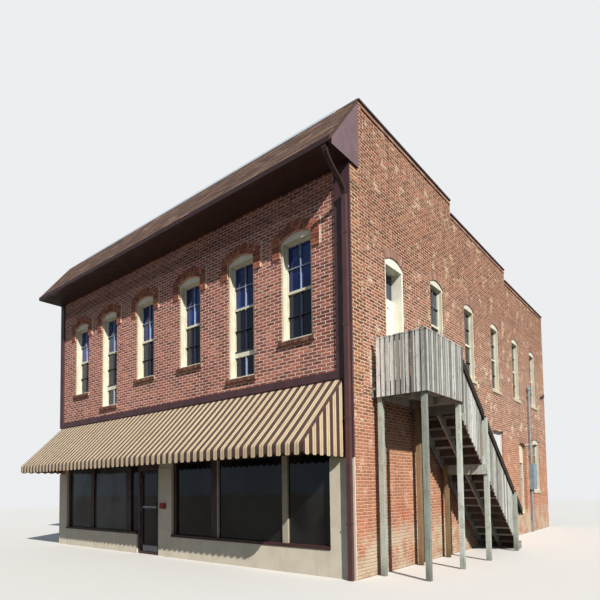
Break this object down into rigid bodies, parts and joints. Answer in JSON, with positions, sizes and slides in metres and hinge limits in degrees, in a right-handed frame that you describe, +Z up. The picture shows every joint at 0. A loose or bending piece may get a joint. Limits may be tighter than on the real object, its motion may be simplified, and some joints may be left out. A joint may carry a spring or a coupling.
{
  "type": "corner shop building",
  "caption": "Two-storey brick corner shop with arched windows, striped awning over the shopfront, pent roof and an outside timber stair to the upper floor.",
  "frame": {"origin": "middle of the footprint at ground level, on the underside of the ground floor", "axes": "+Z up, -Y towards the street in front of the shop, +X towards the side street"},
  "size_m": [12.325, 15.25, 9.065],
  "materials": {
    "concrete": "rough",
    "floor_timber": "satin",
    "roofing": "matt",
    "brick": "rough",
    "stone": "rough",
    "cream_paint": "satin",
    "glass": "clear",
    "white_paint": "satin",
    "grey_paint": "satin",
    "shingles": "rough",
    "brown_paint": "satin",
    "white_metal": "satin",
    "brown_metal": "satin",
    "stucco": "rough",
    "aluminium": "brushed",
    "awning_cloth": "woven",
    "steel_tube": "satin",
    "weathered_timber": "rough",
    "brown_timber": "rough",
    "grey_metal": "satin"
  },
  "bodies": {
    "building": {"ground_floor": "concrete", "upper_floor": "floor_timber", "roof_deck": "roofing", "front_wall": "brick", "side_wall_front": "brick", "side_wall_rear": "brick", "side_door_masonry": "brick", "side_wall_upper": "brick", "party_wall": "brick", "rear_wall": "brick", "front_window_brickwork": "brick", "side_sills": "stone", "front_window_frames": "cream_paint", "front_window_glass": "glass", "side_window_frames": "cream_paint", "side_window_glass": "glass", "rear_windows": "cream_paint", "upper_side_door": "cream_paint", "boarded_window": "white_paint", "side_door_frame": "cream_paint", "pent_roof": "shingles", "eave_boxing": "brown_paint", "pent_cap": "white_metal", "gutter_and_downspout": "brown_metal", "corner_boards": "brown_paint", "parapet_coping": "brown_metal", "shopfront_beam": "stucco", "shopfront_walls": "stucco", "shopfront_frames": "brown_paint", "shopfront_glass": "glass", "shop_door_frame": "brown_paint", "awning_canopy": "awning_cloth", "awning_rafters": "steel_tube", "awning_bars": "steel_tube", "landing_deck": "weathered_timber", "landing_guard": "weathered_timber", "stair_stringers": "weathered_timber", "stair_treads": "weathered_timber", "stair_guard": "weathered_timber", "stair_posts": "weathered_timber", "stair_handrails": "brown_timber", "electric_service": "grey_metal"},
    "shop_door": {"shop_door": "aluminium", "shop_door_glass": "glass"},
    "side_door": {"side_door": "grey_paint"}
  },
  "joints": [
    {"name": "shop_door_hinge", "type": "hinge", "parent": "building", "child": "shop_door", "pos_m": [-1.152, -6.9, 0], "axis": [0, 0, -1], "range_deg": [0, 90]},
    {"name": "side_door_hinge", "type": "hinge", "parent": "building", "child": "side_door", "pos_m": [5.345, 3.317, 0], "axis": [0, 0, 1], "range_deg": [0, 90]}
  ]
}
